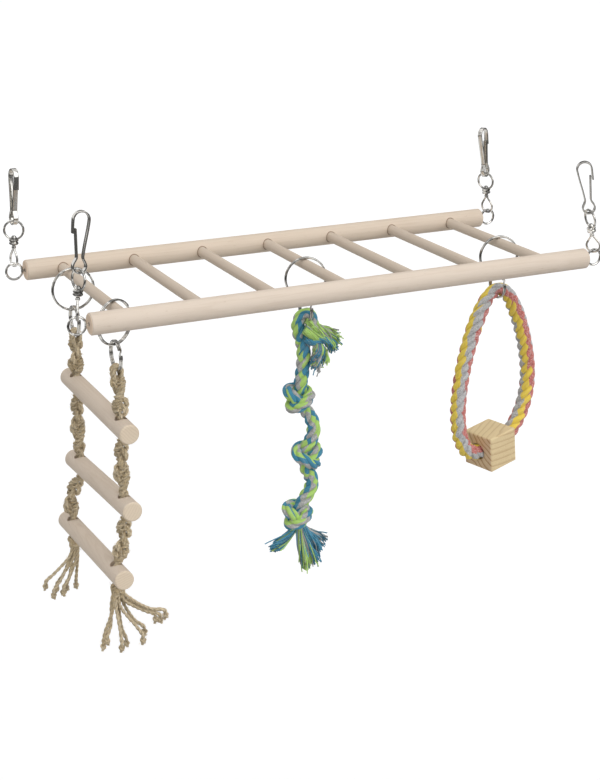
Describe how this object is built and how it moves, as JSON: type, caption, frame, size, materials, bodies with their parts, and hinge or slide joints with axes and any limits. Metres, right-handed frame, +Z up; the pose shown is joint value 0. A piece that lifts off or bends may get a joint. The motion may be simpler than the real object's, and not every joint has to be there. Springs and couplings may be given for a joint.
{
  "type": "hanging bridge pet toy",
  "caption": "Ladder bridge of wooden dowels hung from snap hooks on swivels, with a rope ladder, a knotted rope and a rope ring with a block for small pets to climb.",
  "frame": {"origin": "centre of the upper bend of the front left snap hook, where the cage bar sits", "axes": "+X along the rails to the right, +Y from the front rail to the back rail, +Z up"},
  "size_m": [0.3122, 0.1223, 0.2483],
  "materials": {
    "wood": "bare sanded birch or beech dowel",
    "pine": "bare sanded pine with a clear grain",
    "nickel": "nickel-plated steel wire and strip",
    "jute": "twisted natural jute cord",
    "knotted_cotton": "three-strand cotton rope in blue, lime and grey",
    "ring_cotton": "three-strand cotton rope in yellow, grey and coral"
  },
  "bodies": {
    "hook_front_left": {"hook_front_left": "nickel"},
    "gate_front_left": {"gate_front_left": "nickel"},
    "swivel_ring_front_left": {"swivel_ring_front_left": "nickel"},
    "swivel_loop_front_left": {"swivel_loop_front_left": "nickel"},
    "hook_back_left": {"hook_back_left": "nickel"},
    "gate_back_left": {"gate_back_left": "nickel"},
    "swivel_ring_back_left": {"swivel_ring_back_left": "nickel"},
    "swivel_loop_back_left": {"swivel_loop_back_left": "nickel"},
    "hook_front_right": {"hook_front_right": "nickel"},
    "gate_front_right": {"gate_front_right": "nickel"},
    "swivel_ring_front_right": {"swivel_ring_front_right": "nickel"},
    "swivel_loop_front_right": {"swivel_loop_front_right": "nickel"},
    "hook_back_right": {"hook_back_right": "nickel"},
    "gate_back_right": {"gate_back_right": "nickel"},
    "swivel_ring_back_right": {"swivel_ring_back_right": "nickel"},
    "swivel_loop_back_right": {"swivel_loop_back_right": "nickel"},
    "bridge": {"rail_front": "wood", "rail_back": "wood", "rung_1": "wood", "rung_2": "wood", "rung_3": "wood", "rung_4": "wood", "rung_5": "wood", "rung_6": "wood", "rung_7": "wood", "screw_eye_front_left": "nickel", "screw_eye_back_left": "nickel", "screw_eye_front_right": "nickel", "screw_eye_back_right": "nickel"},
    "big_ring_ladder_front": {"big_ring_ladder_front": "nickel"},
    "small_ring_ladder_front": {"small_ring_ladder_front": "nickel"},
    "big_ring_ladder_back": {"big_ring_ladder_back": "nickel"},
    "small_ring_ladder_back": {"small_ring_ladder_back": "nickel"},
    "ladder_stage_1": {"ladder_step_1": "wood", "ladder_rope_front_1": "jute", "ladder_rope_back_1": "jute"},
    "ladder_stage_2": {"ladder_step_2": "wood", "ladder_rope_front_2": "jute", "ladder_rope_back_2": "jute"},
    "ladder_stage_3": {"ladder_step_3": "wood", "ladder_rope_front_3": "jute", "ladder_rope_back_3": "jute", "ladder_tassel_front": "jute", "ladder_tassel_back": "jute"},
    "big_ring_rope": {"big_ring_rope": "nickel"},
    "small_ring_rope": {"small_ring_rope": "nickel"},
    "big_ring_loop": {"big_ring_loop": "nickel"},
    "small_ring_loop": {"small_ring_loop": "nickel"},
    "knotted_rope": {"knotted_rope": "knotted_cotton", "knotted_rope_tassel": "knotted_cotton"},
    "rope_ring": {"rope_ring": "ring_cotton"},
    "block": {"block": "pine"}
  },
  "joints": [
    {"name": "bridge_sway", "type": "hinge", "parent": "hook_front_left", "child": "swivel_ring_front_left", "pos_m": [-0.00229, 0, -0.02379], "axis": [0, 1, 0], "range_deg": [-15, 15]},
    {"name": "swivel_front_left", "type": "hinge", "parent": "swivel_ring_front_left", "child": "swivel_loop_front_left", "pos_m": [-0.00229, 0, -0.02379], "axis": [0.0958, 0, 0.9954], "continuous": true},
    {"name": "bridge_level", "type": "hinge", "parent": "swivel_loop_front_left", "child": "bridge", "pos_m": [-0.00469, 0, -0.04872], "axis": [0, 1, 0], "range_deg": [-15, 15]},
    {"name": "chain_sway_back_left", "type": "hinge", "parent": "bridge", "child": "swivel_loop_back_left", "pos_m": [-0.00469, 0.111, -0.04872], "axis": [0, 1, 0], "range_deg": [-15, 15]},
    {"name": "swivel_back_left", "type": "hinge", "parent": "swivel_loop_back_left", "child": "swivel_ring_back_left", "pos_m": [-0.00316, 0.111, -0.02372], "axis": [0.061, 0, 0.9981], "continuous": true},
    {"name": "hook_level_back_left", "type": "hinge", "parent": "swivel_ring_back_left", "child": "hook_back_left", "pos_m": [-0.00316, 0.111, -0.02372], "axis": [0, 1, 0], "range_deg": [-15, 15]},
    {"name": "chain_sway_front_right", "type": "hinge", "parent": "bridge", "child": "swivel_loop_front_right", "pos_m": [0.29731, 0, -0.04872], "axis": [0, 1, 0], "range_deg": [-15, 15]},
    {"name": "swivel_front_right", "type": "hinge", "parent": "swivel_loop_front_right", "child": "swivel_ring_front_right", "pos_m": [0.2921, 0, -0.02422], "axis": [-0.2079, 0, 0.9781], "continuous": true},
    {"name": "hook_level_front_right", "type": "hinge", "parent": "swivel_ring_front_right", "child": "hook_front_right", "pos_m": [0.2921, 0, -0.02422], "axis": [0, 1, 0], "range_deg": [-15, 15]},
    {"name": "chain_sway_back_right", "type": "hinge", "parent": "bridge", "child": "swivel_loop_back_right", "pos_m": [0.29731, 0.111, -0.04872], "axis": [0, 1, 0], "range_deg": [-15, 15]},
    {"name": "swivel_back_right", "type": "hinge", "parent": "swivel_loop_back_right", "child": "swivel_ring_back_right", "pos_m": [0.29447, 0.111, -0.02384], "axis": [-0.1132, 0, 0.9936], "continuous": true},
    {"name": "hook_level_back_right", "type": "hinge", "parent": "swivel_ring_back_right", "child": "hook_back_right", "pos_m": [0.29447, 0.111, -0.02384], "axis": [0, 1, 0], "range_deg": [-15, 15]},
    {"name": "gate_front_left", "type": "hinge", "parent": "hook_front_left", "child": "gate_front_left", "pos_m": [-0.00324, 0, -0.01653], "axis": [0, 1, 0], "range_deg": [0, 16], "stiffness_Nm_per_rad": 0.09},
    {"name": "gate_back_left", "type": "hinge", "parent": "hook_back_left", "child": "gate_back_left", "pos_m": [-0.00256, 0.10936, -0.01661], "axis": [-0.9927, -0.1045, 0.0607], "range_deg": [0, 16], "stiffness_Nm_per_rad": 0.09},
    {"name": "gate_front_right", "type": "hinge", "parent": "hook_front_right", "child": "gate_front_right", "pos_m": [0.29201, -0.00082, -0.01695], "axis": [-0.4891, -0.866, -0.104], "range_deg": [0, 16], "stiffness_Nm_per_rad": 0.09},
    {"name": "gate_back_right", "type": "hinge", "parent": "hook_back_right", "child": "gate_back_right", "pos_m": [0.29508, 0.11182, -0.01659], "axis": [0.4968, -0.866, 0.0566], "range_deg": [0, 16], "stiffness_Nm_per_rad": 0.09},
    {"name": "ladder_ring_swing_front", "type": "hinge", "parent": "bridge", "child": "big_ring_ladder_front", "pos_m": [0.02131, 0.0215, -0.05167], "axis": [0, 1, 0], "range_deg": [-20, 20]},
    {"name": "ladder_ring_swing_back", "type": "hinge", "parent": "bridge", "child": "big_ring_ladder_back", "pos_m": [0.02131, 0.0895, -0.05167], "axis": [0, 1, 0], "range_deg": [-20, 20]},
    {"name": "ladder_link_swing_front", "type": "hinge", "parent": "big_ring_ladder_front", "child": "small_ring_ladder_front", "pos_m": [0.02131, 0.0215, -0.06917], "axis": [0, 1, 0], "range_deg": [-15, 15]},
    {"name": "ladder_link_swing_back", "type": "hinge", "parent": "big_ring_ladder_back", "child": "small_ring_ladder_back", "pos_m": [0.02131, 0.0895, -0.06917], "axis": [0, 1, 0], "range_deg": [-15, 15]},
    {"name": "ladder_swing_1", "type": "hinge", "parent": "small_ring_ladder_front", "child": "ladder_stage_1", "pos_m": [0.02131, 0.0215, -0.08437], "axis": [0, 1, 0], "range_deg": [-15, 15]},
    {"name": "ladder_swing_2", "type": "hinge", "parent": "ladder_stage_1", "child": "ladder_stage_2", "pos_m": [0.02131, 0.0555, -0.11417], "axis": [0, 1, 0], "range_deg": [-12, 12]},
    {"name": "ladder_swing_3", "type": "hinge", "parent": "ladder_stage_2", "child": "ladder_stage_3", "pos_m": [0.02131, 0.0555, -0.16017], "axis": [0, 0.9976, -0.0698], "range_deg": [-12, 12]},
    {"name": "rope_slide", "type": "slide", "parent": "bridge", "child": "big_ring_rope", "axis": [0, 1, 0], "range_m": [-0.035, 0.035]},
    {"name": "rope_swing_side", "type": "hinge", "parent": "big_ring_rope", "child": "small_ring_rope", "pos_m": [0.14431, 0.0555, -0.07067], "axis": [1, 0, 0], "range_deg": [-20, 20]},
    {"name": "loop_slide", "type": "slide", "parent": "bridge", "child": "big_ring_loop", "axis": [0, 1, 0], "range_m": [-0.035, 0.035]},
    {"name": "loop_swing_side", "type": "hinge", "parent": "big_ring_loop", "child": "small_ring_loop", "pos_m": [0.26731, 0.0505, -0.07067], "axis": [1, 0, 0], "range_deg": [-20, 20]},
    {"name": "rope_swing", "type": "hinge", "parent": "small_ring_rope", "child": "knotted_rope", "pos_m": [0.14431, 0.0555, -0.08437], "axis": [0, 1, 0], "range_deg": [-20, 20]},
    {"name": "loop_swing", "type": "hinge", "parent": "small_ring_loop", "child": "rope_ring", "pos_m": [0.26731, 0.0505, -0.08437], "axis": [0, 1, 0], "range_deg": [-20, 20]},
    {"name": "block_spin", "type": "hinge", "parent": "rope_ring", "child": "block", "pos_m": [0.26731, 0.0505, -0.17837], "axis": [0.9597, 0.2572, 0.1132], "continuous": true}
  ],
  "couplings": [
    {"joint": "bridge_level", "follows": "bridge_sway", "ratio": -1},
    {"joint": "chain_sway_back_left", "follows": "bridge_sway", "ratio": 1},
    {"joint": "hook_level_back_left", "follows": "bridge_sway", "ratio": -1},
    {"joint": "chain_sway_front_right", "follows": "bridge_sway", "ratio": 1},
    {"joint": "hook_level_front_right", "follows": "bridge_sway", "ratio": -1},
    {"joint": "chain_sway_back_right", "follows": "bridge_sway", "ratio": 1},
    {"joint": "hook_level_back_right", "follows": "bridge_sway", "ratio": -1},
    {"joint": "ladder_ring_swing_back", "follows": "ladder_ring_swing_front", "ratio": 1},
    {"joint": "ladder_link_swing_back", "follows": "ladder_link_swing_front", "ratio": 1}
  ]
}
